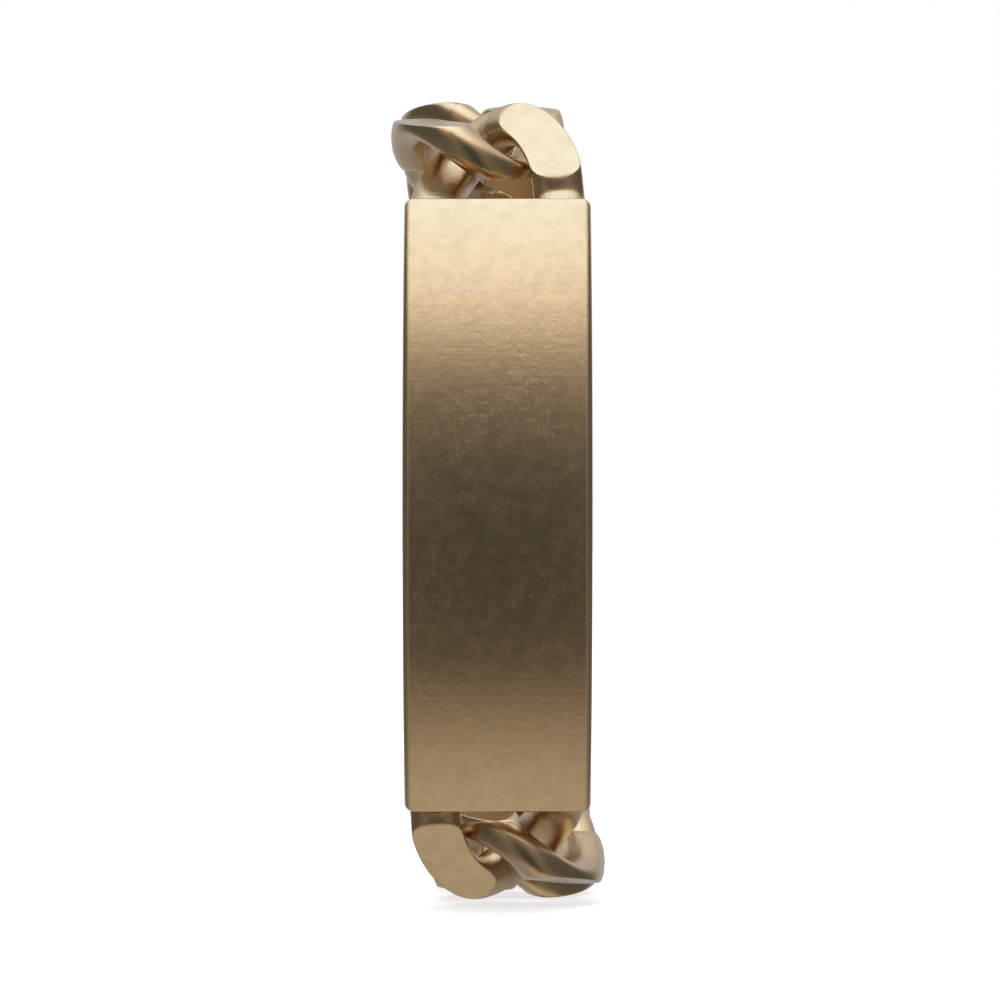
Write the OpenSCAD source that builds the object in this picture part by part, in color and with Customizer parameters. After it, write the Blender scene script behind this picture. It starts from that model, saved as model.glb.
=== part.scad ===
// Chain bracelet: a curved name plate, ten curb links and a plain clasp,
// standing upright as it does round a wrist.
// The wrist's axis runs along X through the origin, the plate faces -Y, +Z is up.
// Every link is one bent wire: its plan is an ellipse, it rises and dips twice a turn,
// and the crests are ground flat on both sides of the chain.

/* [Plate] */
// Width of the plate across the wrist, mm
plate_width = 15.5; // [15.2:0.1:15.8]
// Thickness of the plate, mm
plate_thick = 5.2; // [4.8:0.1:5.2]
// Radius of the plate's bend, at half its thickness, mm
plate_radius = 35.4; // [35.4:0.1:35.6]
// Angle from the middle of the plate to each end, degrees
plate_half_angle = 42.45; // [42.3:0.05:42.6]
// Turn of the plate about the wrist's axis, which lowers its middle, degrees
plate_tilt = 0.65; // [0.6:0.05:0.7]
// Rounding along the plate's long edges, mm
plate_edge = 0.6; // [0.3:0.1:1.2]
// Rounding of the plate's four corners, seen from the front, mm
plate_corner = 0.6; // [0.5:0.1:1.4]

/* [Plate end loops] */
// Lean of the end loops from upright, degrees
loop_lean = 44; // [43.5:0.1:44.5]
// Half length of the upper end loop's rounded part, mm
upper_reach = 10.4; // [10.35:0.05:10.5]
// Half length of the lower end loop's rounded part, mm
lower_reach = 9.65; // [9.6:0.05:9.75]
// Straight stretch between the plate's end and the rounded part, mm
loop_start = 0.2; // [0.1:0.1:0.3]

/* [Links] */
// Half length of a link, to the middle of its wire, mm
link_reach = 8.6; // [8.5:0.05:8.7]
// Half width of a link, to the middle of its wire, mm
link_half_width = 5.25; // [5.2:0.01:5.3]
// Height of the crests above the link's middle plane, mm
crest = 2.35; // [2.33:0.01:2.36]
// Half thickness of the chain between its ground faces, mm
ground = 2.35; // [2.3:0.01:2.35]
// Half the wire's width, in the plane of the link, mm
wire_wide = 2.15; // [2.1:0.01:2.15]
// Half the wire's height, square to that plane, mm
wire_high = 1.55; // [1.5:0.01:1.55]
// Squareness of the wire, 2 for an ellipse and more for a squarer section
wire_square = 2.5; // [2.2:0.1:2.5]

/* [Upper side of the chain] */
// Lean from upright of the link beside the plate, degrees
upper_lean_1 = 81.2; // [81.1:0.1:81.3]
// Lean of the second link, degrees
upper_lean_2 = 97.8; // [97.7:0.1:97.9]
// Lean of the third link, degrees
upper_lean_3 = 105.8; // [105.7:0.1:105.9]
// Lean of the fourth link, degrees
upper_lean_4 = 122; // [121.9:0.1:122.1]
// Lean of the link beside the clasp, degrees
upper_lean_5 = 140.3; // [140.2:0.1:140.4]
// Sideways place of the first link's middle, mm
upper_across = -1.66; // [-1.68:0.01:-1.64]
// Distance of the first link's middle in front of the wrist's axis, mm
upper_front = 15.57; // [15.54:0.01:15.6]
// Height of the first link's middle above the wrist's axis, mm
upper_high = 30.65; // [30.62:0.01:30.68]
// Turn of that link in its own plane, degrees
upper_turn = 3.8; // [3.6:0.1:4]
// Roll of that link about its length, degrees
upper_roll = -1.7; // [-1.8:0.1:-1.6]
// Sideways step from the first link to the second, mm
upper_step_1 = 0.47; // [0.45:0.01:0.49]
// Sideways step between the other links, mm
upper_step_2 = 0.42; // [0.4:0.01:0.44]
// Distance between the middles of two links, mm
upper_pitch = 11.85; // [11.83:0.01:11.87]
// Turn of the other links in their own planes, degrees
upper_others = 6; // [5.8:0.1:6.2]

/* [Lower side of the chain] */
// Lean from upright of the link beside the plate, degrees
lower_lean_1 = 82.5; // [82.4:0.1:82.6]
// Lean of the second link, degrees
lower_lean_2 = 99.4; // [99.3:0.1:99.5]
// Lean of the third link, degrees
lower_lean_3 = 105.6; // [105.5:0.1:105.7]
// Lean of the fourth link, degrees
lower_lean_4 = 121.1; // [121:0.1:121.2]
// Lean of the link beside the clasp, degrees
lower_lean_5 = 138.7; // [138.6:0.1:138.8]
// Sideways place of the first link's middle, mm
lower_across = -1.75; // [-1.77:0.01:-1.73]
// Distance of the first link's middle in front of the wrist's axis, mm
lower_front = 15.9; // [15.87:0.01:15.93]
// Height of the first link's middle below the wrist's axis, mm
lower_high = 30.4; // [30.37:0.01:30.43]
// Turn of that link in its own plane, degrees
lower_turn = 2; // [1.8:0.1:2.2]
// Roll of that link about its length, degrees
lower_roll = 0; // [-0.1:0.1:0.1]
// Sideways step from the first link to the second, mm
lower_step_1 = 0.34; // [0.32:0.01:0.36]
// Sideways step between the other links, mm
lower_step_2 = 0.53; // [0.51:0.01:0.55]
// Distance between the middles of two links, mm
lower_pitch = 11.79; // [11.77:0.01:11.81]
// Turn of the other links in their own planes, degrees
lower_others = 6.5; // [6.3:0.1:6.7]

/* [Clasp] */
// Distance from the wrist's axis to the middle of the clasp, mm
clasp_back = 34.1; // [34.05:0.01:34.15]
// Width of the clasp's body, mm
clasp_width = 15.4; // [15.3:0.1:15.6]
// Thickness of the clasp's body, mm
clasp_thick = 5.2; // [4.8:0.1:5.2]
// Radius of the clasp's bend, at half its thickness, mm
clasp_radius = 36; // [35:0.5:38]
// Angle from the middle of the clasp to each end, degrees
clasp_half_angle = 7; // [6.9:0.1:7.1]
// Lean of the clasp's end loops from upright, degrees
clasp_lean = 22; // [21.8:0.1:22.2]
// Half length of a clasp loop's rounded part, mm
clasp_reach = 8.5; // [8.45:0.01:8.55]
// Straight stretch between the clasp's body and the rounded part, mm
clasp_start = 1; // [0.9:0.05:1.1]

/* [Hidden] */
// Rings of points along a link and along an end loop
link_rings = 32;
loop_rings = 48;
// Points on each rounded side of the wire
side_points = 6;
// Length of the legs of an end loop, most of it inside the plate or the clasp, mm
plate_leg = 4;
clasp_leg = 3.5;
// Share of the crest height at the low leg of an end loop
low_share = 0.8;
// Drop of the low leg below the middle plane where it meets the plate, mm
leg_drop = 0.4;
// Angle round the loop at which the low leg has come back to the middle plane, degrees
leg_level = 88.2;
// Angles round the loop between which the high leg comes down to the middle plane,
// first for the upper end loop and the clasp, then for the lower end loop, degrees
high_hold = [62, 70];
high_settle = [82, 86];
// Share of the slope of the high leg that its sections follow on that way down
slope_share = 0.3;
// Leans, first places and sideways steps of the links of each side
upper_lean = [upper_lean_1, upper_lean_2, upper_lean_3, upper_lean_4, upper_lean_5];
upper_first = [upper_across, -upper_front, upper_high];
upper_step = [upper_step_1, upper_step_2];
upper_twist = [upper_turn, upper_others];
lower_lean = [lower_lean_1, lower_lean_2, lower_lean_3, lower_lean_4, lower_lean_5];
lower_first = [lower_across, -lower_front, lower_high];
lower_step = [lower_step_1, lower_step_2];
lower_twist = [lower_turn, lower_others];
brass = [0.86, 0.74, 0.52];

function unit(v) = v / norm(v);
function ease(x) = let (c = min(max(x, 0), 1)) c * c * (3 - 2 * c);

// Middle line of a link's wire: across, outward and along the chain.
function link_line(t) = [
    link_half_width * sin(t),
    -crest * sin(2 * t),
    link_reach * cos(t)
];

// Height of an end loop's middle line: the high leg keeps its height up to a short
// slope in front of the plate, the low leg comes back to the middle plane slowly.
function high_leg(a, end) =
    let (slope = high_settle[end] - high_hold[end])
    crest * (a < 45 ? sin(2 * a) : 1 - ease((a - high_hold[end]) / slope));
function low_leg(a) =
    let (rise = a < 45 ? sin(2 * a) : 1 - ease((a - 45) / (leg_level - 45)))
    -low_share * crest * rise - leg_drop * ease((a - 45) / 45);

// Middle line of an end loop, from the tip of one leg to the tip of the other.
function loop_line(t, reach, end) =
    let (a = abs(t))
    let (side = t < 0 ? -1 : 1)
    let (past = max(a - 90, 0) * PI / 180 * link_half_width)
    [
        side * link_half_width * sin(min(a, 90)),
        side > 0 ? -high_leg(a, end) : -low_leg(a),
        a < 90 ? reach * cos(a) : -past
    ];

// Direction of an end loop's sections, flatter than the wire itself on the short slope.
function loop_way(t, reach, end) =
    let (small = 0.01)
    let (d = loop_line(t + small, reach, end) - loop_line(t - small, reach, end))
    let (share = 1 - (1 - slope_share) * ease((t - 45) / 12))
    unit([d[0], share * d[1], d[2]]);

// A squarer sine or cosine, and the way back from it.
function squared(v) = sign(v) * pow(abs(v), 2 / wire_square);
function unsquared(v) =
    let (c = min(max(v, -1), 1))
    sign(c) * pow(abs(c), wire_square / 2);

// One section of the wire at its middle point c with direction d, cut by the ground
// faces: two rounded sides whose corners lie on those faces where the wire reaches them.
function section(c, d) =
    let (sidew = unit(cross(d, [0, -1, 0])))
    let (up = cross(sidew, d))
    let (tall = -wire_high * up[1])
    let (least = 90 / side_points)
    let (top = max(acos(unsquared((ground + c[1]) / tall)), least))
    let (low = max(acos(unsquared((ground - c[1]) / tall)), least))
    let (from = low - 90)
    let (step = (180 - top - low) / (side_points - 1))
    [
        for (k = [0 : side_points - 1])
            let (a = from + k * step)
            c + wire_wide * squared(cos(a)) * sidew + wire_high * squared(sin(a)) * up,
        for (k = [side_points - 1 : -1 : 0])
            let (a = from + k * step)
            c - wire_wide * squared(cos(a)) * sidew + wire_high * squared(sin(a)) * up
    ];

// Two triangles between neighbouring rings i and j, at points k and m of the rings.
function patch(i, j, k, m, n) = [
    [i * n + k, j * n + m, j * n + k],
    [i * n + k, i * n + m, j * n + m]
];

module link_body() {
    n = 2 * side_points;
    small = 0.01;
    points = [
        for (i = [0 : link_rings - 1])
            let (t = 360 * i / link_rings)
            each section(link_line(t), unit(link_line(t + small) - link_line(t - small)))
    ];
    faces = [
        for (i = [0 : link_rings - 1])
            for (k = [0 : n - 1])
                each patch(i, (i + 1) % link_rings, k, (k + 1) % n, n)
    ];
    polyhedron(points = points, faces = faces, convexity = 8);
}

module end_loop(reach, leg, end) {
    n = 2 * side_points;
    last = 90 + leg / link_half_width * 180 / PI;
    points = [
        for (i = [0 : loop_rings - 1])
            let (t = -last + 2 * last * i / (loop_rings - 1))
            each section(loop_line(t, reach, end), loop_way(t, reach, end))
    ];
    faces = [
        [for (k = [n - 1 : -1 : 0]) k],
        for (i = [0 : loop_rings - 2])
            for (k = [0 : n - 1])
                each patch(i, i + 1, k, (k + 1) % n, n),
        [for (k = [0 : n - 1]) (loop_rings - 1) * n + k]
    ];
    polyhedron(points = points, faces = faces, convexity = 8);
}

// Rounded outline of a bar's cross section.
module bar_profile(wide, thick, edge) {
    square([thick - 2 * edge, wide], center = true);
    square([thick, wide - 2 * edge], center = true);
    for (i = [-1, 1])
        for (k = [-1, 1])
            translate([i * (thick / 2 - edge), k * (wide / 2 - edge)])
                circle(r = edge, $fn = 24);
}

// A bent bar round the X axis, its middle on the -Y side, with trimmed corners.
module bent_bar(wide, thick, bend, half_angle, edge, corner) {
    // The trimming outline reaches this far past the bar's end edges, mm
    past_end = 0.06;
    high = 2 * ((bend + thick / 2) * sin(half_angle) + past_end);
    intersection() {
        rotate([0, 90, 0])
            rotate([0, 0, 270 - half_angle])
                rotate_extrude(angle = 2 * half_angle, $fn = 180)
                    translate([bend, 0])
                        bar_profile(wide, thick, edge);
        translate([0, -bend, 0])
            rotate([90, 0, 0])
                linear_extrude(height = 3 * bend, center = true)
                    bar_outline(wide, high, corner);
    }
}

module bar_outline(wide, high, corner) {
    square([wide - 2 * corner, high], center = true);
    square([wide, high - 2 * corner], center = true);
    for (i = [-1, 1])
        for (k = [-1, 1])
            translate([i * (wide / 2 - corner), k * (high / 2 - corner)])
                circle(r = corner, $fn = 32);
}

// A bent bar with a loop at each end, bent round the X axis.
module looped_bar(wide, thick, bend, half_angle, edge, corner, lean, reach, start, leg, slope) {
    place = [
        0,
        -bend * cos(half_angle) + start * sin(lean),
        bend * sin(half_angle) + start * cos(lean)
    ];
    bent_bar(wide, thick, bend, half_angle, edge, corner);
    for (k = [0, 1])
        rotate([0, 180 * k, 0])
            translate(place)
                rotate([-lean, 0, 0])
                    end_loop(reach[k], leg, slope[k]);
}

// Middle of link k of a side, counted from the plate.
function link_pos(k, first, lean, step, pitch) =
    k == 0
        ? first
        : let (m = (lean[k - 1] + lean[k]) / 2)
          let (across = k == 1 ? step[0] : step[1])
          let (move = [across, pitch * sin(m), pitch * cos(m)])
          link_pos(k - 1, first, lean, step, pitch) + move;

// One link where it hangs, worked out the same way up for both sides.
module hung_link(k, first, lean, twist, roll, step, pitch) {
    color(brass)
        translate(link_pos(k, first, lean, step, pitch))
            rotate([-lean[k], 0, 0])
                rotate([0, k == 0 ? twist[0] : twist[1], 0])
                    rotate([0, 0, k == 0 ? roll : 0])
                        link_body();
}

module upper_link(k) {
    hung_link(k, upper_first, upper_lean, upper_twist, upper_roll, upper_step, upper_pitch);
}

module lower_link(k) {
    rotate([0, 180, 0])
        hung_link(k, lower_first, lower_lean, lower_twist, lower_roll, lower_step, lower_pitch);
}

module id_plate() {
    color(brass)
        rotate([plate_tilt, 0, 0])
            looped_bar(
                plate_width, plate_thick, plate_radius, plate_half_angle, plate_edge,
                plate_corner, loop_lean, [upper_reach, lower_reach], loop_start, plate_leg,
                [0, 1]
            );
}

module link_01() { upper_link(0); }
module link_02() { upper_link(1); }
module link_03() { upper_link(2); }
module link_04() { upper_link(3); }
module link_05() { upper_link(4); }
module link_06() { lower_link(4); }
module link_07() { lower_link(3); }
module link_08() { lower_link(2); }
module link_09() { lower_link(1); }
module link_10() { lower_link(0); }

module clasp() {
    color(brass)
        translate([0, clasp_back, 0])
            rotate([0, 0, 180])
                translate([0, clasp_radius, 0])
                    looped_bar(
                        clasp_width, clasp_thick, clasp_radius, clasp_half_angle, plate_edge,
                        plate_edge, clasp_lean, [clasp_reach, clasp_reach], clasp_start, clasp_leg,
                        [0, 0]
                    );
}

id_plate();
link_01();
link_02();
link_03();
link_04();
link_05();
link_06();
link_07();
link_08();
link_09();
link_10();
clasp();
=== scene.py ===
"""Chain bracelet in satin pale gold: name plate, curb links, clasp and a plain studio.

The wrist's axis runs along X through the origin, the plate faces -Y and Z is up.
Lengths are in metres. Each piece is a surface on a grid of two parameters, worked out
as whole arrays, and stands in place of one solid of the frame. In the functions that
work out shapes, s is the group of the bracelet's sizes.
"""

import math

import bpy
import numpy as np
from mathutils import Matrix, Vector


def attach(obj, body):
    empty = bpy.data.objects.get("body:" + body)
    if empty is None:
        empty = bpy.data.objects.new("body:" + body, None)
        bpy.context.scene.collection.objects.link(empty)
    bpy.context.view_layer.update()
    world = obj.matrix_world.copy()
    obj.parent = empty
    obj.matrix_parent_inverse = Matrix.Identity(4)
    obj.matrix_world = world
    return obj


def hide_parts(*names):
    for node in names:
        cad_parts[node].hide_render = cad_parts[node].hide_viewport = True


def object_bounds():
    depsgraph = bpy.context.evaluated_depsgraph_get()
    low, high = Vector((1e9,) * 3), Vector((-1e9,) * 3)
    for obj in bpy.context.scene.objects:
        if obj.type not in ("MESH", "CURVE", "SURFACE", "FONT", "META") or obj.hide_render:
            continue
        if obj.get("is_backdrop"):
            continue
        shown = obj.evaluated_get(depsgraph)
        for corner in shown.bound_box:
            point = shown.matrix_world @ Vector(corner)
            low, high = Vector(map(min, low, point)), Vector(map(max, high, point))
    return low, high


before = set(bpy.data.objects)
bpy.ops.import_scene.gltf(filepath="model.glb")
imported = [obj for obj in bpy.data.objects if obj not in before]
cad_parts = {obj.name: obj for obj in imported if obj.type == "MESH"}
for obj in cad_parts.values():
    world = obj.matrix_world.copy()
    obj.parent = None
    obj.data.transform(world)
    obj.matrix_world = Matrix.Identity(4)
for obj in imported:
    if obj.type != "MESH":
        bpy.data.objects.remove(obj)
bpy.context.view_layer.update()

bl_info = {
    "name": "Chain bracelet",
    "version": (1, 0, 0),
    "blender": (4, 5, 0),
    "location": "3D View > Sidebar > Bracelet",
    "description": "Curb chain bracelet with a bare name plate, in satin pale gold",
    "category": "Object",
}

MM = 0.001

# A quarter and an eighth of a turn, in radians.
QUARTER = math.pi / 2.0
EIGHTH = math.pi / 4.0

# Counts: links in the chain, and points along a link, an end loop and the part of a bent
# bar between its rounded corners.
LINKS = 10
LINK_STEPS = 132
LOOP_STEPS = 150
BAR_STEPS = 96

# Distances over which the worn, smoothed edges and their painted highlight fade from the
# edge of a ground face and from a bar's end.
FACE_WEAR_AND_HIGHLIGHT = 0.00012
END_WEAR_AND_HIGHLIGHT = 0.0004

# Directions of the fine scratches in radians, their cells per metre at direction 0, the
# share by which that number rises for each radian, and how far a noise bends them.
SCRATCH_DIRECTIONS = (0.1, 1.4, 1.75)
SCRATCH_SCALE = 900.0
SCRATCH_SCALE_RISE = 0.25
SCRATCH_BEND = 0.0012

# What marks do to the metal: colour factors, changes of roughness and depth of a scratch
# against the grain. The bright factor paints a highlight into the colour along worn edges
# and also lightens the scratches.
DULL_TONE = 0.975
EDGE_HIGHLIGHT_AND_SCRATCH_TONE = 1.15
SCRATCH_ROUGHNESS = 0.35
POLISH_SMOOTHNESS = 0.08
SCRATCH_DEPTH = 0.6

SENSOR_MM = 36.0


def length(label, text, millimetres):
    """A length property with its default given in millimetres."""
    return bpy.props.FloatProperty(
        name=label,
        description=text,
        default=millimetres * MM,
        precision=5,
        subtype="DISTANCE",
        unit="LENGTH",
    )


def angle(label, text, degrees):
    """An angle property with its default given in degrees."""
    return bpy.props.FloatProperty(
        name=label,
        description=text,
        default=math.radians(degrees),
        subtype="ANGLE",
        unit="ROTATION",
    )


def share(label, text, value):
    """A factor between 0 and 1."""
    return bpy.props.FloatProperty(
        name=label, description=text, default=value, min=0.0, max=1.0, subtype="FACTOR"
    )


def colour(label, text, value):
    """A linear colour without alpha."""
    return bpy.props.FloatVectorProperty(
        name=label, description=text, default=value, min=0.0, soft_max=2.0, subtype="COLOR"
    )


class BraceletSizes(bpy.types.PropertyGroup):
    """Sizes of the plate, the wire, the chain and the clasp."""

    plate_width: length("Plate width", "Width of the plate across the wrist", 15.5)
    plate_thick: length("Plate thickness", "Thickness of the plate", 5.2)
    plate_radius: length("Plate bend", "Radius of the bend at half the thickness", 35.4)
    plate_half: angle("Plate half angle", "From the plate's middle to each end", 42.45)
    plate_tilt: angle("Plate tilt", "Turn about the wrist's axis that lowers the plate", 0.65)
    plate_edge: length("Plate edge", "Rounding along the plate's long edges", 0.6)
    plate_corner: length("Plate corner", "Rounding of the four corners seen from the front", 0.6)
    end_edge: length("End edge", "Rounding between the plate's faces and its ends", 0.3)
    loop_lean: angle("Loop lean", "Lean of the plate's end loops from upright", 44.0)
    upper_reach: length("Upper reach", "Half length of the upper end loop's rounded part", 10.4)
    lower_reach: length("Lower reach", "Half length of the lower end loop's rounded part", 9.65)
    loop_start: length("Loop start", "Straight stretch between the plate and that part", 0.2)
    loop_leg: length("Loop leg", "Straight end of the wire, sunk into the plate", 4.0)
    upper_hold: angle("Upper hold", "Angle up to which the upper high leg keeps its height", 62.0)
    upper_settle: angle("Upper settle", "Angle where the upper high leg has come down", 82.0)
    lower_hold: angle("Lower hold", "Angle up to which the lower high leg keeps its height", 70.0)
    lower_settle: angle("Lower settle", "Angle where the lower high leg has come down", 86.0)
    slope_share: share("Slope share", "Share of that slope followed by the wire's sections", 0.3)
    link_reach: length("Link reach", "Half length of a link at the middle of its wire", 8.6)
    link_half: length("Link half width", "Half width of a link at the middle of its wire", 5.25)
    crest: length("Crest", "Rise of the wire above the link's middle plane", 2.35)
    ground: length("Ground", "Half thickness of the chain between its ground faces", 2.35)
    wire_wide: length("Wire half width", "Half the wire's width in the link's plane", 2.15)
    wire_high: length("Wire half height", "Half the wire's height square to that plane", 1.55)
    wire_square: bpy.props.FloatProperty(
        name="Wire squareness",
        description="Power of the wire's rounded section: 2 is an ellipse, more is squarer",
        default=2.5,
        min=2.0,
        max=4.0,
    )
    soft_edge: length("Soft edge", "Rounding of the edges of the ground faces", 0.07)
    low_share: share("Low leg", "Share of the crest's rise at an end loop's low leg", 0.8)
    leg_drop: length("Leg drop", "Drop of the legs below the middle plane at the plate", 0.4)
    leg_level: angle("Leg level", "Angle round the loop where a leg is level again", 88.2)
    upper_across: length("Upper link across", "Sideways place of the first upper link", -1.66)
    upper_front: length("Upper link front", "Its distance in front of the wrist's axis", 15.57)
    upper_high: length("Upper link height", "Its height above the wrist's axis", 30.65)
    upper_turn: angle("Upper link turn", "Its turn in its own plane", 3.8)
    upper_roll: angle("Upper link roll", "Its roll about its own length", -1.7)
    upper_step_1: length("Upper first step", "Sideways step to the second link", 0.47)
    upper_step_2: length("Upper other steps", "Sideways step between the other links", 0.42)
    upper_pitch: length("Upper pitch", "Distance between the middles of two links", 11.85)
    upper_others: angle("Upper others", "Turn of the other links in their own planes", 6)
    upper_lean_1: angle("Upper lean 1", "Lean from upright of the link beside the plate", 81.2)
    upper_lean_2: angle("Upper lean 2", "Lean from upright of the second link", 97.8)
    upper_lean_3: angle("Upper lean 3", "Lean from upright of the third link", 105.8)
    upper_lean_4: angle("Upper lean 4", "Lean from upright of the fourth link", 122)
    upper_lean_5: angle("Upper lean 5", "Lean from upright of the link beside the clasp", 140.3)
    lower_across: length("Lower link across", "Sideways place of the first lower link", -1.75)
    lower_front: length("Lower link front", "Its distance in front of the wrist's axis", 15.9)
    lower_high: length("Lower link depth", "Its depth below the wrist's axis", 30.4)
    lower_turn: angle("Lower link turn", "Its turn in its own plane", 2)
    lower_roll: angle("Lower link roll", "Its roll about its own length", 0)
    lower_step_1: length("Lower first step", "Sideways step to the second link", 0.34)
    lower_step_2: length("Lower other steps", "Sideways step between the other links", 0.53)
    lower_pitch: length("Lower pitch", "Distance between the middles of two links", 11.79)
    lower_others: angle("Lower others", "Turn of the other links in their own planes", 6.5)
    lower_lean_1: angle("Lower lean 1", "Lean from upright of the link beside the plate", 82.5)
    lower_lean_2: angle("Lower lean 2", "Lean from upright of the second link", 99.4)
    lower_lean_3: angle("Lower lean 3", "Lean from upright of the third link", 105.6)
    lower_lean_4: angle("Lower lean 4", "Lean from upright of the fourth link", 121.1)
    lower_lean_5: angle("Lower lean 5", "Lean from upright of the link beside the clasp", 138.7)
    clasp_back: length("Clasp place", "From the wrist's axis to the clasp's middle", 34.1)
    clasp_width: length("Clasp width", "Width of the clasp's body", 15.4)
    clasp_thick: length("Clasp thickness", "Thickness of the clasp's body", 5.2)
    clasp_radius: length("Clasp bend", "Radius of its bend at half its thickness", 36.0)
    clasp_half: angle("Clasp half angle", "From the clasp's middle to each end", 7.0)
    clasp_lean: angle("Clasp lean", "Lean of the clasp's end loops from upright", 22.0)
    clasp_reach: length("Clasp reach", "Half length of the rounded part of its loops", 8.5)
    clasp_start: length("Clasp start", "Straight stretch between body and rounded part", 1.0)
    clasp_leg: length("Clasp leg", "Straight end of the wire, sunk into the clasp", 3.5)


class BraceletFinish(bpy.types.PropertyGroup):
    """Colour and finish of the metal."""

    gold: colour("Gold", "Colour of the pale gold metal", (0.76, 0.575, 0.36))
    plate_satin: share("Plate satin", "Roughness of the plate", 0.27)
    plate_mottle: share("Plate mottling", "Added roughness in the plate's dull patches", 0.09)
    link_satin: share("Link satin", "Roughness of the links and loops", 0.23)
    link_mottle: share("Link mottling", "Added roughness in the links' dull patches", 0.03)
    plate_marks: share("Plate scratches", "How plainly the plate's fine scratches show", 0.28)
    link_marks: share("Link scratches", "How plainly the links' fine scratches show", 0.12)
    plate_grain: length("Plate grain", "Depth of the plate's grain and dents", 0.026)
    link_grain: length("Link grain", "Depth of the links' grain and dents", 0.004)
    # Also sets how strongly a highlight is painted into the colour along the worn edges.
    edge_polish_and_highlight: share("Edge polish", "How far wear has polished the edges", 0.6)


class BraceletStage(bpy.types.PropertyGroup):
    """Floor, light and camera."""

    camera_away: length("Camera distance", "From the plate's face to the camera", 425.0)
    camera_across: length("Camera across", "Sideways place of the camera", 0.2)
    camera_up: length("Camera up", "Height of the camera above the wrist's axis", 0.13)
    frame_width: length("Frame width", "Width in view at the plate's face", 81.3)
    floor_gap: length("Floor gap", "Air between the bracelet and the floor", 0.05)
    floor_half: length("Floor half size", "Half the width of the floor", 3000.0)
    background: colour("Background", "Colour behind the bracelet", (1.0, 1.0, 1.0))
    floor: colour("Floor", "Colour of the pale floor", (0.86, 0.86, 0.86))


def ease(x):
    """Smooth step: 3 x squared less 2 x cubed, held at 0 and 1 outside that range."""
    c = np.clip(x, 0.0, 1.0)
    return c * c * (3.0 - 2.0 * c)


def turned(points, lean, turn=0.0, roll=0.0):
    """Points rolled about Z, then turned about Y, then leant back about X."""
    cr, sr = math.cos(roll), math.sin(roll)
    ct, st = math.cos(turn), math.sin(turn)
    cl, sl = math.cos(-lean), math.sin(-lean)
    about_z = np.array([[cr, -sr, 0.0], [sr, cr, 0.0], [0.0, 0.0, 1.0]])
    about_y = np.array([[ct, 0.0, st], [0.0, 1.0, 0.0], [-st, 0.0, ct]])
    about_x = np.array([[1.0, 0.0, 0.0], [0.0, cl, -sl], [0.0, sl, cl]])
    return points @ (about_x @ about_y @ about_z).T


def half_turn(points):
    """Points turned by half a turn about the Y axis."""
    return points * np.array([-1.0, 1.0, -1.0])


def link_line(t, s):
    """Middle line of a link at angle t: an ellipse that rises and dips twice a turn.

    Across it is half width times sine t, along it reach times cosine t, and outward
    the crest times sine 2t.
    """
    return np.stack(
        [s.link_half * np.sin(t), -s.crest * np.sin(2.0 * t), s.link_reach * np.cos(t)], -1
    )


def loop_line(t, s, shape):
    """Middle line of an end loop at angle t, from the tip of one leg to the other.

    It follows the link's ellipse to 90 degrees and then runs straight into the plate.
    One side rises and the other dips as sine 2t up to 45 degrees. The high side keeps its
    height up to the hold angle and has come down at the settle angle. The low side eases
    back to the angle where its leg is level, a little below the middle plane.
    """
    reach, hold, settle = shape
    a, side = np.abs(t), np.where(t < 0.0, -1.0, 1.0)
    amount = np.where(side > 0.0, s.crest, s.low_share * s.crest)
    high_back = 1.0 - ease((a - hold) / (settle - hold))
    low_back = 1.0 - ease((a - EIGHTH) / (s.leg_level - EIGHTH))
    back = np.where(side > 0.0, high_back, low_back)
    rise = np.where(a < EIGHTH, np.sin(2.0 * a), back)
    drop = np.where(side > 0.0, 0.0, s.leg_drop) * ease((a - EIGHTH) / EIGHTH)
    height = side * amount * rise - drop
    along = np.where(a < QUARTER, reach * np.cos(a), -(a - QUARTER) * s.link_half)
    across = side * s.link_half * np.sin(np.minimum(a, QUARTER))
    return np.stack([across, -height, along], -1)


def link_way(t, s, small=1e-5):
    """Direction of a link's sections: that of its middle line."""
    return link_line(t + small, s) - link_line(t - small, s)


def loop_way(t, s, shape, small=1e-5, ease_in=math.radians(12.0)):
    """Direction of an end loop's sections: flatter than the wire on the short slope.

    The outward part of the middle line's direction is taken at less than its full size
    from 45 degrees on, easing in over 12 degrees, on the high side only.
    """
    way = loop_line(t + small, s, shape) - loop_line(t - small, s, shape)
    way[:, 1] *= 1.0 - (1.0 - s.slope_share) * ease((t - EIGHTH) / ease_in)
    return way


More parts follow.
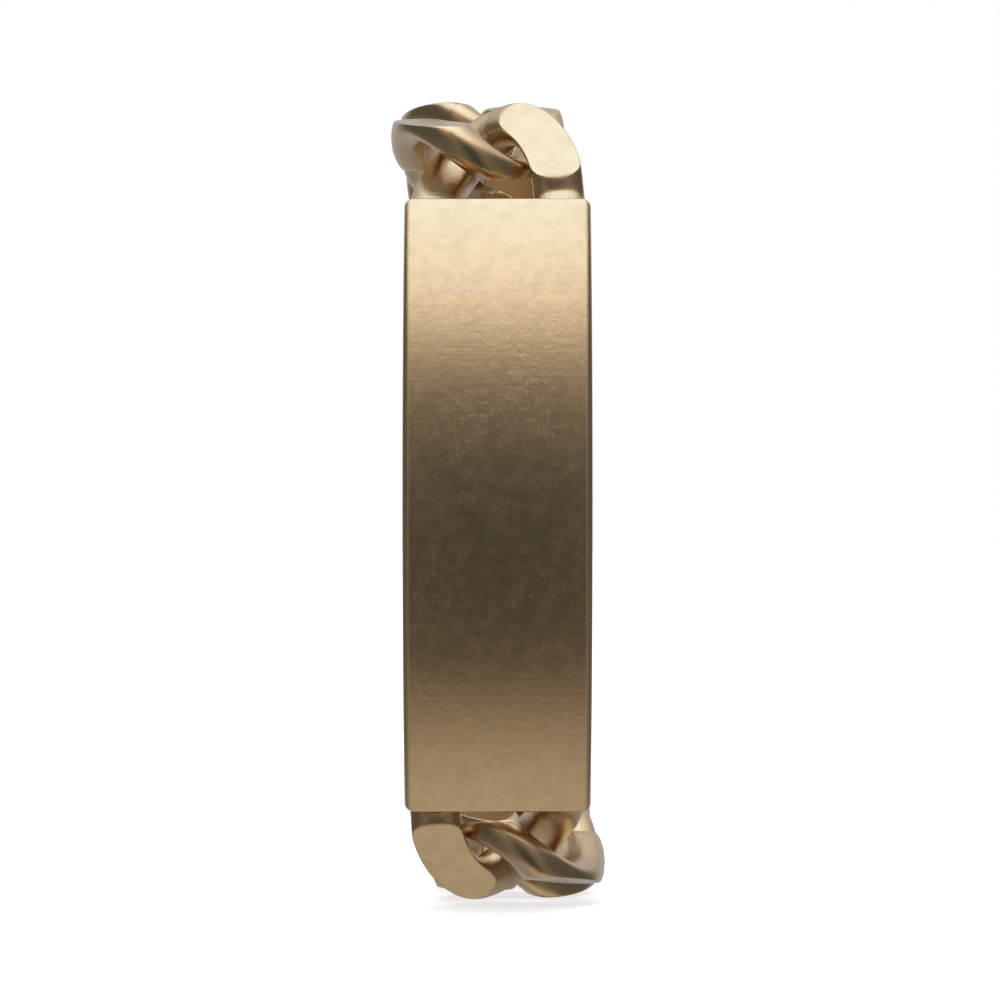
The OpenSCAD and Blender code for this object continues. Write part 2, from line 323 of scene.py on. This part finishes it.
def wire_rings(middle, along, s, side_points=13, face_points=5, crowding=1.7):
    """Rings of the wire round a middle line, with both sides ground flat.

    Square to the line's direction the wire is a rounded square: sine and cosine to the
    power of two over the squareness. Its outward coordinate is held under the ground face
    by a soft minimum: half of (height plus face less the root of their difference squared
    plus a small square). The points of a ring crowd at the angles where the section meets
    the faces, and those of a face span at least 12 degrees on each side of its middle.
    Gives the points and how near they are to the edges of the ground faces.
    """
    along = along / np.linalg.norm(along, axis=1, keepdims=True)
    side = np.cross(along, [0.0, -1.0, 0.0])
    side /= np.linalg.norm(side, axis=1, keepdims=True)
    up = np.cross(side, along)
    tall = -s.wire_high * up[:, 1]
    least = math.radians(12.0)
    top_cut = np.clip((s.ground + middle[:, 1]) / tall, -1.0, 1.0)
    low_cut = np.clip((s.ground - middle[:, 1]) / tall, -1.0, 1.0)
    half_power, part = s.wire_square / 2.0, 2.0 / s.wire_square
    top = np.arccos(np.sign(top_cut) * np.abs(top_cut) ** half_power)
    low = np.arccos(np.sign(low_cut) * np.abs(low_cut) ** half_power)
    top_turn, low_turn = np.maximum(top, least), np.maximum(low, least)

    crowd = np.linspace(0.0, 1.0, face_points + 1)[1:] ** crowding
    body = np.linspace(0.0, 1.0, side_points)
    under = -QUARTER + low_turn[:, None] * (1.0 - crowd[::-1])
    flank = -QUARTER + low_turn[:, None] + (math.pi - top_turn - low_turn)[:, None] * body
    over = QUARTER - top_turn[:, None] * (1.0 - crowd)
    right = np.concatenate([under, flank, over], 1)
    left = math.pi - right[:, -2:0:-1]
    a = np.concatenate([right, left], 1)

    ring = middle[:, None, :]
    sideways, upward = np.cos(a), np.sin(a)
    sideways = np.sign(sideways) * np.abs(sideways) ** part
    upward = np.sign(upward) * np.abs(upward) ** part
    ring = ring + s.wire_wide * sideways[..., None] * side[:, None, :]
    ring = ring + s.wire_high * upward[..., None] * up[:, None, :]
    out = -ring[..., 1]
    # Nearness to the ground faces' edges: there the edges are smoother and a highlight is painted
    # into the colour.
    near_top = np.exp(-(((out - s.ground) / FACE_WEAR_AND_HIGHLIGHT) ** 2)) * np.sin(top)[:, None]
    near_low = np.exp(-(((out + s.ground) / FACE_WEAR_AND_HIGHLIGHT) ** 2)) * np.sin(low)[:, None]
    soft = s.soft_edge
    out = 0.5 * (out + s.ground - np.sqrt((out - s.ground) ** 2 + soft**2))
    out = 0.5 * (out - s.ground + np.sqrt((out + s.ground) ** 2 + soft**2))
    ring[..., 1] = -out
    return ring, near_top + near_low


def grid_faces(rows, columns, closed, first=0):
    """Quads of a grid whose columns close on themselves, and its rows too if closed."""
    i = np.arange(rows if closed else rows - 1)[:, None]
    j = np.arange(columns)[None, :]
    i_next, j_next = (i + 1) % rows, (j + 1) % columns
    here, across = i * columns + j, i * columns + j_next
    ahead, beyond = i_next * columns + j, i_next * columns + j_next
    quads = np.stack([here, across, beyond, ahead], -1).reshape(-1, 4) + first
    return quads.tolist()


def end_faces(rows, columns, first=0):
    """The two faces that close an open tube."""
    start = (np.arange(columns)[::-1] + first).tolist()
    end = (np.arange(columns) + (rows - 1) * columns + first).tolist()
    return [start, end]


def bar_rings(wide, thick, bend, half, edge, corner, end_edge, corner_steps=16, edge_steps=7):
    """Rings of a bar bent round the X axis.

    A rounded rectangle is carried along an arc. Near the ends its half width and half
    thickness shrink as quarter circles: size less radius plus the root of the radius squared
    less the square of what the radius has over the distance to the end. Gives the points
    and how near the edges are.
    """
    outer = bend + thick / 2.0
    round_part = corner * (1.0 - np.cos(np.linspace(0.0, QUARTER, corner_steps)))
    plain = np.linspace(corner, outer * half, BAR_STEPS // 2)[1:]
    gap = np.concatenate([round_part, plain])
    gap = np.concatenate([gap, gap[-2::-1]])
    sign = np.where(np.arange(gap.size) < gap.size // 2, 1.0, -1.0)
    turn = sign * (half - gap / outer)
    short_w = corner - np.sqrt(corner**2 - np.clip(corner - gap, 0.0, None) ** 2)
    short_t = end_edge - np.sqrt(end_edge**2 - np.clip(end_edge - gap, 0.0, None) ** 2)
    w, t = wide / 2.0 - short_w, thick / 2.0 - short_t

    arc = np.linspace(0.0, QUARTER, edge_steps)
    turns = (arc[None, :] + np.array([0.0, 0.5, 1.0, 1.5])[:, None] * math.pi).ravel()
    right = np.repeat([1.0, -1.0, -1.0, 1.0], arc.size)
    front = np.repeat([1.0, 1.0, -1.0, -1.0], arc.size)
    x = right * (w[:, None] - edge) + edge * np.cos(turns)
    r = bend + front * (t[:, None] - edge) + edge * np.sin(turns)
    rings = np.stack([x, -r * np.cos(turn)[:, None], r * np.sin(turn)[:, None]], -1)
    # Nearness to the long edges and the ends: smoother edges with a highlight painted into the
    # colour.
    wear_and_highlight = np.sin(2.0 * turns)[None, :] ** 2 * np.ones_like(x)
    wear_and_highlight = np.maximum(wear_and_highlight, np.exp(-((gap / END_WEAR_AND_HIGHLIGHT) ** 2))[:, None])
    return rings, wear_and_highlight


def looped_bar(wide, thick, bend, half, edge, corner, lean, shapes, start, leg, s):
    """A bent bar with an end loop at each end, as one list of points, faces and worn edges with a
    painted highlight.
    """
    rings, wear_and_highlight = bar_rings(wide, thick, bend, half, edge, corner, s.end_edge)
    rows, columns = rings.shape[:2]
    points, near = [rings.reshape(-1, 3)], [wear_and_highlight.ravel()]
    faces = grid_faces(rows, columns, False) + end_faces(rows, columns)
    last = QUARTER + leg / s.link_half
    t = np.linspace(-last, last, LOOP_STEPS)
    end = [
        0.0,
        -bend * math.cos(half) + start * math.sin(lean),
        bend * math.sin(half) + start * math.cos(lean),
    ]
    first = rows * columns
    for side, shape in enumerate(shapes):
        loop, loop_wear_and_highlight = wire_rings(loop_line(t, s, shape), loop_way(t, s, shape), s)
        placed = turned(loop, lean) + end
        if side:
            placed = half_turn(placed)
        rows, columns = placed.shape[:2]
        points.append(placed.reshape(-1, 3))
        near.append(loop_wear_and_highlight.ravel())
        faces += grid_faces(rows, columns, False, first) + end_faces(rows, columns, first)
        first += rows * columns
    return np.concatenate(points), faces, np.concatenate(near)


def link_places(s, half):
    """Middle, lean, turn and roll of five links, from the plate to the clasp.

    Each middle lies one pitch from the last, along the mean of the two leans. The lower
    half is worked out the same way up, and turned over afterwards.
    """
    leans = [getattr(s, f"{half}_lean_{k}") for k in (1, 2, 3, 4, 5)]
    across, front, high = (getattr(s, f"{half}_{name}") for name in ("across", "front", "high"))
    first_turn, first_roll = getattr(s, f"{half}_turn"), getattr(s, f"{half}_roll")
    pitch, others = getattr(s, f"{half}_pitch"), getattr(s, f"{half}_others")
    places, middle = [], np.array([across, -front, high])
    for k, lean in enumerate(leans):
        if k:
            mean = (leans[k - 1] + lean) / 2.0
            aside = getattr(s, f"{half}_step_{min(k, 2)}")
            middle = middle + [aside, pitch * math.sin(mean), pitch * math.cos(mean)]
        turn, roll = (first_turn, first_roll) if k == 0 else (others, 0.0)
        places.append((middle, lean, turn, roll))
    return places


def add_piece(name, node, points, faces, wear_and_highlight, metal):
    """A smooth mesh object that stands in place of one solid of the frame."""
    mesh = bpy.data.meshes.new(name)
    mesh.from_pydata(points.tolist(), [], faces)
    mesh.update()
    mesh.polygons.foreach_set("use_smooth", np.ones(len(mesh.polygons), dtype=bool))
    # Nearness to an edge, stored for the metal: smoother worn edges and a painted highlight
    # there.
    edge = mesh.attributes.new("edge_wear", "FLOAT", "POINT")
    edge.data.foreach_set("value", wear_and_highlight.astype(np.float32))
    mesh.materials.append(metal)
    piece = bpy.data.objects.new(name, mesh)
    bpy.context.scene.collection.objects.link(piece)
    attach(piece, "root")
    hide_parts(node)


def new_group(name, inputs, outputs):
    """A shader node group with its sockets, and its input and output nodes."""
    group = bpy.data.node_groups.new(name, "ShaderNodeTree")
    for label, kind, value in inputs:
        socket = group.interface.new_socket(label, in_out="INPUT", socket_type=kind)
        if value is not None:
            socket.default_value = value
    for label, kind in outputs:
        group.interface.new_socket(label, in_out="OUTPUT", socket_type=kind)
    return group, group.nodes.new("NodeGroupInput"), group.nodes.new("NodeGroupOutput")


def node_of(tree, kind, inputs=None, **settings):
    """A node with its settings, and its inputs set to values or linked from sockets."""
    node = tree.nodes.new(kind)
    for label, value in settings.items():
        setattr(node, label, value)
    mixes_colour = kind == "ShaderNodeMix" and node.data_type == "RGBA"
    for label, value in (inputs or {}).items():
        socket = node.inputs[label]
        if mixes_colour and label in ("A", "B"):
            socket = next(i for i in node.inputs if i.name == label and i.type == "RGBA")
        if isinstance(value, bpy.types.NodeSocket):
            tree.links.new(value, socket)
        else:
            socket.default_value = value
    return node


def math_of(tree, operation, a, b=0.0):
    """Output of a Math node."""
    return node_of(tree, "ShaderNodeMath", {0: a, 1: b}, operation=operation).outputs[0]


def blend_of(tree, factor, a, b):
    """Colour output of a Mix node."""
    inputs = {"Factor": factor, "A": a, "B": b}
    node = node_of(tree, "ShaderNodeMix", inputs, data_type="RGBA")
    return next(o for o in node.outputs if o.type == "RGBA")


def satin_grain_group():
    """Satin grain: grain from rubbing, shallow dents and streaks as a height, and a mottle mask.
    """
    found = bpy.data.node_groups.get("Satin grain")
    if found:
        return found
    group, given, out = new_group(
        "Satin grain",
        [
            ("Vector", "NodeSocketVector", None),
            ("Grain scale", "NodeSocketFloat", 3000.0),
            ("Dent scale", "NodeSocketFloat", 2200.0),
            ("Streak scale", "NodeSocketFloat", 2600.0),
            ("Mottle scale", "NodeSocketFloat", 800.0),
        ],
        [("Height", "NodeSocketFloat"), ("Mottle", "NodeSocketFloat")],
    )
    layers = []
    for label, stretch, detail, weight in (
        ("Grain scale", (0.35, 1.0, 1.0), 3.0, 0.08),
        ("Dent scale", (1.0, 1.0, 0.6), 1.0, 0.6),
        ("Streak scale", (0.06, 1.0, 1.0), 2.0, 0.25),
    ):
        spread = node_of(
            group,
            "ShaderNodeVectorMath",
            {0: given.outputs["Vector"], 1: stretch},
            operation="MULTIPLY",
        )
        noise = node_of(
            group,
            "ShaderNodeTexNoise",
            {"Vector": spread.outputs[0], "Scale": given.outputs[label], "Detail": detail},
        )
        layers.append(math_of(group, "MULTIPLY", noise.outputs[0], weight))
    mottle = node_of(
        group,
        "ShaderNodeTexNoise",
        {
            "Vector": given.outputs["Vector"],
            "Scale": given.outputs["Mottle scale"],
            "Detail": 4.0,
            "Roughness": 0.65,
            "Distortion": 0.3,
        },
    )
    patches = node_of(
        group,
        "ShaderNodeMapRange",
        {"Value": mottle.outputs[0], "From Min": 0.36, "From Max": 0.68},
        interpolation_type="SMOOTHSTEP",
    )
    height = math_of(group, "ADD", math_of(group, "ADD", layers[0], layers[1]), layers[2])
    group.links.new(height, out.inputs["Height"])
    group.links.new(patches.outputs[0], out.inputs["Mottle"])
    return group


def fine_scratches_group():
    """Fine scratches: short thin marks along one direction, in patches, as a mask."""
    found = bpy.data.node_groups.get("Fine scratches")
    if found:
        return found
    group, given, out = new_group(
        "Fine scratches",
        [
            ("Vector", "NodeSocketVector", None),
            ("Direction", "NodeSocketFloat", 0.0),
            ("Scale", "NodeSocketFloat", 1100.0),
            ("Slimness", "NodeSocketVector", (1.0, 1.0, 2.6)),
            ("Amount", "NodeSocketFloat", 0.65),
        ],
        [("Mask", "NodeSocketFloat")],
    )
    bent = node_of(
        group,
        "ShaderNodeTexNoise",
        {"Vector": given.outputs["Vector"], "Scale": 700.0, "Detail": 1.0},
    )
    shift = node_of(
        group,
        "ShaderNodeVectorMath",
        {0: bent.outputs["Color"], 1: (SCRATCH_BEND, SCRATCH_BEND, SCRATCH_BEND)},
        operation="MULTIPLY",
    )
    moved = node_of(
        group,
        "ShaderNodeVectorMath",
        {0: given.outputs["Vector"], 1: shift.outputs[0]},
        operation="ADD",
    )
    spun = node_of(
        group,
        "ShaderNodeVectorRotate",
        {"Vector": moved.outputs[0], "Angle": given.outputs["Direction"]},
        rotation_type="Y_AXIS",
    )
    slim = node_of(
        group,
        "ShaderNodeVectorMath",
        {0: spun.outputs[0], 1: given.outputs["Slimness"]},
        operation="MULTIPLY",
    )
    cells = node_of(
        group,
        "ShaderNodeTexVoronoi",
        {"Vector": slim.outputs[0], "Scale": given.outputs["Scale"]},
    )
    line = node_of(
        group,
        "ShaderNodeMapRange",
        {
            "Value": cells.outputs["Distance"],
            "From Min": 0.05,
            "From Max": 0.4,
            "To Min": 1.0,
            "To Max": 0.0,
        },
        interpolation_type="SMOOTHSTEP",
    )
    pick = node_of(group, "ShaderNodeSeparateColor", {"Color": cells.outputs["Color"]})
    chosen = math_of(group, "LESS_THAN", pick.outputs[0], given.outputs["Amount"])
    patch = node_of(
        group,
        "ShaderNodeTexNoise",
        {"Vector": given.outputs["Vector"], "Scale": 260.0, "Detail": 1.0},
    )
    patchy = node_of(
        group,
        "ShaderNodeMapRange",
        {"Value": patch.outputs[0], "From Min": 0.4, "From Max": 0.6},
    )
    strong = math_of(group, "MULTIPLY", line.outputs[0], chosen)
    mask = math_of(group, "MULTIPLY", strong, patchy.outputs[0])
    group.links.new(mask, out.inputs["Mask"])
    return group


def edge_polish_and_highlight_group():
    """Worn, highlight-painted edges: the stored nearness to an edge, broken up by a noise, as a
    mask.
    """
    found = bpy.data.node_groups.get("Edge polish")
    if found:
        return found
    group, given, out = new_group(
        "Edge polish",
        [
            ("Vector", "NodeSocketVector", None),
            ("Edge", "NodeSocketFloat", 0.0),
            ("Amount", "NodeSocketFloat", 0.6),
        ],
        [("Mask", "NodeSocketFloat")],
    )
    chip = node_of(
        group,
        "ShaderNodeTexNoise",
        {"Vector": given.outputs["Vector"], "Scale": 900.0, "Detail": 2.0},
    )
    uneven = node_of(
        group,
        "ShaderNodeMapRange",
        {"Value": chip.outputs[0], "From Min": 0.3, "From Max": 0.7, "To Min": 0.4},
    )
    worn = math_of(group, "MULTIPLY", given.outputs["Edge"], uneven.outputs[0])
    mask = math_of(group, "MULTIPLY", worn, given.outputs["Amount"])
    group.links.new(mask, out.inputs["Mask"])
    return group


def satin_gold(name, finish, roughness, mottling, marking, grain_depth):
    """Satin pale gold: grain and scratches in the normal, mottling, smooth edges with a painted
    highlight.
    """
    found = bpy.data.materials.get(name)
    if found:
        return found
    material = bpy.data.materials.new(name)
    material.use_nodes = True
    tree = material.node_tree
    shader = tree.nodes["Principled BSDF"]
    place = tree.nodes.new("ShaderNodeTexCoord").outputs["Object"]
    grain = node_of(tree, "ShaderNodeGroup", {"Vector": place}, node_tree=satin_grain_group())
    marks = []
    for direction in SCRATCH_DIRECTIONS:
        scale = SCRATCH_SCALE * (1.0 + SCRATCH_SCALE_RISE * direction)
        scratches = node_of(
            tree,
            "ShaderNodeGroup",
            {"Vector": place, "Direction": direction, "Scale": scale},
            node_tree=fine_scratches_group(),
        )
        marks.append(scratches.outputs["Mask"])
    scratched = math_of(tree, "MAXIMUM", math_of(tree, "MAXIMUM", marks[0], marks[1]), marks[2])
    scratched = math_of(tree, "MULTIPLY", scratched, marking)
    edge = node_of(
        tree, "ShaderNodeAttribute", attribute_type="GEOMETRY", attribute_name="edge_wear"
    )
    # Worn edges: smoother, and painted brighter as a highlight.
    polish_and_highlight = node_of(
        tree,
        "ShaderNodeGroup",
        {"Vector": place, "Edge": edge.outputs["Fac"], "Amount": finish.edge_polish_and_highlight},
        node_tree=edge_polish_and_highlight_group(),
    )

    # The bright colour is a painted highlight on worn edges; the scratches are lightened with it.
    gold = np.array(finish.gold)
    dull, bright = gold * DULL_TONE, np.minimum(gold * EDGE_HIGHLIGHT_AND_SCRATCH_TONE, 1.0)
    tone = blend_of(tree, grain.outputs["Mottle"], (*gold, 1.0), (*dull, 1.0))
    edge_highlight_and_scratches = math_of(tree, "ADD", polish_and_highlight.outputs["Mask"], scratched)
    colour_with_highlight_and_scratches = blend_of(tree, edge_highlight_and_scratches, tone, (*bright, 1.0))
    tree.links.new(colour_with_highlight_and_scratches, shader.inputs["Base Color"])

    dulled = node_of(
        tree,
        "ShaderNodeMapRange",
        {
            "Value": grain.outputs["Mottle"],
            "To Min": roughness,
            "To Max": roughness + mottling,
        },
    )
    rougher = math_of(tree, "MULTIPLY", scratched, SCRATCH_ROUGHNESS)
    smoother = math_of(tree, "MULTIPLY", polish_and_highlight.outputs["Mask"], POLISH_SMOOTHNESS)
    rough = math_of(tree, "ADD", dulled.outputs[0], rougher)
    rough = math_of(tree, "SUBTRACT", rough, smoother)
    tree.links.new(rough, shader.inputs["Roughness"])

    dents = math_of(tree, "MULTIPLY", scratched, -SCRATCH_DEPTH)
    height = math_of(tree, "ADD", grain.outputs["Height"], dents)
    bump = node_of(
        tree,
        "ShaderNodeBump",
        {"Height": height, "Distance": grain_depth, "Strength": 1.0},
    )
    tree.links.new(bump.outputs["Normal"], shader.inputs["Normal"])
    shader.inputs["Metallic"].default_value = 1.0
    return material


def metal_of(finish, part):
    """Metal of the plate or of the links, from the finish values named after that part."""
    values = [getattr(finish, f"{part}_{name}") for name in ("satin", "mottle", "marks", "grain")]
    return satin_gold(f"{part}_satin_gold", finish, *values)


# The light's colour by direction, a row for each height: elevation in degrees, then red,
# green and blue.
FRONT_LIGHT = [
    (-90.0, (0.56, 0.53, 0.47)),
    (-70.0, (0.48, 0.43, 0.37)),
    (-56.0, (0.28, 0.25, 0.20)),
    (-45.0, (0.093, 0.084, 0.074)),
    (-20.0, (0.053, 0.057, 0.057)),
    (8.0, (0.070, 0.072, 0.072)),
    (30.0, (0.18, 0.166, 0.139)),
    (40.0, (0.45, 0.40, 0.34)),
    (54.0, (1.22, 1.18, 1.12)),
    (70.0, (1.30, 1.40, 1.51)),
    (90.0, (1.22, 1.47, 1.75)),
]
FLANK_LIGHT = [
    (-90.0, (0.56, 0.53, 0.47)),
    (-60.0, (0.36, 0.33, 0.28)),
    (-35.0, (0.19, 0.17, 0.14)),
    (0.0, (0.20, 0.18, 0.15)),
    (25.0, (0.27, 0.25, 0.21)),
    (42.0, (0.55, 0.50, 0.43)),
    (56.0, (1.25, 1.22, 1.17)),
    (90.0, (1.22, 1.47, 1.75)),
]
BACK_LIGHT = [
    (-90.0, (0.56, 0.53, 0.47)),
    (-62.0, (0.36, 0.34, 0.31)),
    (-42.0, (0.31, 0.29, 0.27)),
    (-22.0, (0.42, 0.43, 0.46)),
    (10.0, (0.54, 0.55, 0.60)),
    (32.0, (0.50, 0.49, 0.49)),
    (60.0, (0.95, 0.95, 0.95)),
    (90.0, (1.33, 1.62, 1.92)),
]
SIDE_LIGHT = [
    (-90.0, (0.56, 0.53, 0.47)),
    (-50.0, (0.17, 0.15, 0.12)),
    (0.0, (0.10, 0.10, 0.09)),
    (35.0, (0.12, 0.11, 0.10)),
    (60.0, (0.7, 0.7, 0.7)),
    (90.0, (1.33, 1.62, 1.92)),
]


def light_ramp(tree, height, stops):
    """Colour of the light by the sine of its elevation."""
    ramp = node_of(tree, "ShaderNodeValToRGB", {"Fac": height})
    elements = ramp.color_ramp.elements
    while len(elements) < len(stops):
        elements.new(0.5)
    for element, (degrees, tint) in zip(elements, stops):
        element.position = (math.sin(math.radians(degrees)) + 1.0) / 2.0
        element.color = (*tint, 1.0)
    return ramp.outputs[0]


def studio_world(stage):
    """Soft light: bright overhead, dark in front and at the sides, pale behind and below.

    The colour at an elevation changes with the direction: the straight front gives way to
    the flanks beside it, then to the back, and last to the far sides.
    """
    world = bpy.data.worlds.new("studio")
    world.use_nodes = True
    tree = world.node_tree
    tree.nodes.clear()
    way = node_of(
        tree, "ShaderNodeSeparateXYZ", {0: tree.nodes.new("ShaderNodeTexCoord").outputs[0]}
    )
    height = node_of(tree, "ShaderNodeMapRange", {"Value": way.outputs["Z"], "From Min": -1.0})
    side = math_of(tree, "ABSOLUTE", way.outputs["X"])
    light_colour = light_ramp(tree, height.outputs[0], FRONT_LIGHT)
    for coordinate, start, end, stops in (
        (side, 0.12, 0.42, FLANK_LIGHT),
        (way.outputs["Y"], -0.45, 0.35, BACK_LIGHT),
        (side, 0.5, 0.8, SIDE_LIGHT),
    ):
        part = node_of(
            tree,
            "ShaderNodeMapRange",
            {"Value": coordinate, "From Min": start, "From Max": end},
            interpolation_type="SMOOTHSTEP",
        )
        tint = light_ramp(tree, height.outputs[0], stops)
        light_colour = blend_of(tree, part.outputs[0], light_colour, tint)
    light = node_of(tree, "ShaderNodeBackground", {"Color": light_colour})
    seen_colour = (*stage.background, 1.0)
    white = node_of(tree, "ShaderNodeBackground", {"Color": seen_colour})
    seen = tree.nodes.new("ShaderNodeLightPath").outputs["Is Camera Ray"]
    both = node_of(
        tree, "ShaderNodeMixShader", {0: seen, 1: light.outputs[0], 2: white.outputs[0]}
    )
    out = tree.nodes.new("ShaderNodeOutputWorld")
    tree.links.new(both.outputs[0], out.inputs["Surface"])
    bpy.context.scene.world = world


def paper_floor(stage):
    """Pale paper, lit a little from within where the camera sees it."""
    material = bpy.data.materials.new("pale_paper")
    material.use_nodes = True
    tree = material.node_tree
    shader = tree.nodes["Principled BSDF"]
    shader.inputs["Base Color"].default_value = (*stage.floor, 1.0)
    shader.inputs["Roughness"].default_value = 0.9
    shader.inputs["Emission Color"].default_value = (0.97, 0.98, 1.0, 1.0)
    shader.inputs["Emission Strength"].default_value = 0.68
    return material


class BRACELET_OT_plate(bpy.types.Operator):
    """Build the curved name plate with its two end loops"""

    bl_idname = "bracelet.plate"
    bl_label = "Name plate"

    def execute(self, context):
        s, f = context.scene.bracelet_sizes, context.scene.bracelet_finish
        upper = (s.upper_reach, s.upper_hold, s.upper_settle)
        lower = (s.lower_reach, s.lower_hold, s.lower_settle)
        points, faces, wear_and_highlight = looped_bar(
            s.plate_width, s.plate_thick, s.plate_radius, s.plate_half, s.plate_edge,
            s.plate_corner, s.loop_lean, (upper, lower), s.loop_start, s.loop_leg, s,
        )
        points = turned(points, -s.plate_tilt)
        add_piece("name_plate", "id_plate", points, faces, wear_and_highlight, metal_of(f, "plate"))
        return {"FINISHED"}


class BRACELET_OT_links(bpy.types.Operator):
    """Build the ten curb links, five on each side of the plate"""

    bl_idname = "bracelet.links"
    bl_label = "Curb links"

    def execute(self, context):
        s, f = context.scene.bracelet_sizes, context.scene.bracelet_finish
        metal = metal_of(f, "link")
        t = np.linspace(0.0, 2.0 * math.pi, LINK_STEPS, endpoint=False)
        rings, wear_and_highlight = wire_rings(link_line(t, s), link_way(t, s), s)
        faces = grid_faces(rings.shape[0], rings.shape[1], True)
        for half in ("upper", "lower"):
            for k, (middle, lean, turn, roll) in enumerate(link_places(s, half)):
                points = (turned(rings, lean, turn, roll) + middle).reshape(-1, 3)
                if half == "lower":
                    points = half_turn(points)
                number = k + 1 if half == "upper" else LINKS - k
                name, node = f"curb_link_{number:02d}", f"link_{number:02d}"
                add_piece(name, node, points, faces, wear_and_highlight.ravel(), metal)
        return {"FINISHED"}


class BRACELET_OT_clasp(bpy.types.Operator):
    """Build the plain clasp opposite the plate"""

    bl_idname = "bracelet.clasp"
    bl_label = "Clasp"

    def execute(self, context):
        s, f = context.scene.bracelet_sizes, context.scene.bracelet_finish
        shape = (s.clasp_reach, s.upper_hold, s.upper_settle)
        points, faces, wear_and_highlight = looped_bar(
            s.clasp_width, s.clasp_thick, s.clasp_radius, s.clasp_half, s.plate_edge,
            s.plate_edge, s.clasp_lean, (shape, shape), s.clasp_start, s.clasp_leg, s,
        )
        back = points * np.array([-1.0, -1.0, 1.0])
        back = back - [0.0, s.clasp_radius - s.clasp_back, 0.0]
        add_piece("plain_clasp", "clasp", back, faces, wear_and_highlight, metal_of(f, "link"))
        return {"FINISHED"}


class BRACELET_OT_stage(bpy.types.Operator):
    """Build the pale floor, the soft light and the camera"""

    bl_idname = "bracelet.stage"
    bl_label = "Studio"

    def execute(self, context):
        stage, s = context.scene.bracelet_stage, context.scene.bracelet_sizes
        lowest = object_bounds()[0][2] - stage.floor_gap
        mesh = bpy.data.meshes.new("floor")
        corners = np.array([[-1, -1, 0], [1, -1, 0], [1, 1, 0], [-1, 1, 0]]) * stage.floor_half
        mesh.from_pydata((corners + [0.0, 0.0, lowest]).tolist(), [], [(0, 1, 2, 3)])
        mesh.materials.append(paper_floor(stage))
        floor = bpy.data.objects.new("floor", mesh)
        floor.visible_glossy = False
        context.scene.collection.objects.link(floor)
        floor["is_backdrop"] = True
        studio_world(stage)
        context.scene.view_settings.view_transform = "Standard"

        lens = bpy.data.cameras.new("camera")
        lens.sensor_width = SENSOR_MM
        lens.lens = SENSOR_MM * stage.camera_away / stage.frame_width
        lens.clip_end = 20.0
        camera = bpy.data.objects.new("camera", lens)
        face = -(s.plate_radius + s.plate_thick / 2.0)
        camera.location = (stage.camera_across, face - stage.camera_away, stage.camera_up)
        camera.rotation_euler = (QUARTER, 0.0, 0.0)
        context.scene.collection.objects.link(camera)
        context.scene.camera = camera
        return {"FINISHED"}


class BRACELET_PT_panel(bpy.types.Panel):
    """Lists the pieces, the finish and the studio"""

    bl_idname = "BRACELET_PT_panel"
    bl_label = "Chain bracelet"
    bl_space_type = "VIEW_3D"
    bl_region_type = "UI"
    bl_category = "Bracelet"

    def draw(self, context):
        for operator in OPERATORS:
            self.layout.operator(operator.bl_idname)
        for group in ("bracelet_finish", "bracelet_stage", "bracelet_sizes"):
            box = self.layout.box()
            settings = getattr(context.scene, group)
            for label in settings.__annotations__:
                box.prop(settings, label)


GROUPS = (BraceletSizes, BraceletFinish, BraceletStage)
OPERATORS = (BRACELET_OT_plate, BRACELET_OT_links, BRACELET_OT_clasp, BRACELET_OT_stage)


def register():
    """Add the settings, the operators and the panel to Blender."""
    for group in GROUPS:
        bpy.utils.register_class(group)
    bpy.types.Scene.bracelet_sizes = bpy.props.PointerProperty(type=BraceletSizes)
    bpy.types.Scene.bracelet_finish = bpy.props.PointerProperty(type=BraceletFinish)
    bpy.types.Scene.bracelet_stage = bpy.props.PointerProperty(type=BraceletStage)
    for item in (*OPERATORS, BRACELET_PT_panel):
        bpy.utils.register_class(item)


def unregister():
    """Take the panel, the operators and the settings away again."""
    for item in (BRACELET_PT_panel, *OPERATORS):
        bpy.utils.unregister_class(item)
    del bpy.types.Scene.bracelet_sizes
    del bpy.types.Scene.bracelet_finish
    del bpy.types.Scene.bracelet_stage
    for group in GROUPS:
        bpy.utils.unregister_class(group)


def main():
    """Build all the pieces and the studio."""
    register()
    bpy.ops.bracelet.plate()
    bpy.ops.bracelet.links()
    bpy.ops.bracelet.clasp()
    bpy.ops.bracelet.stage()


if __name__ == "__main__":
    main()
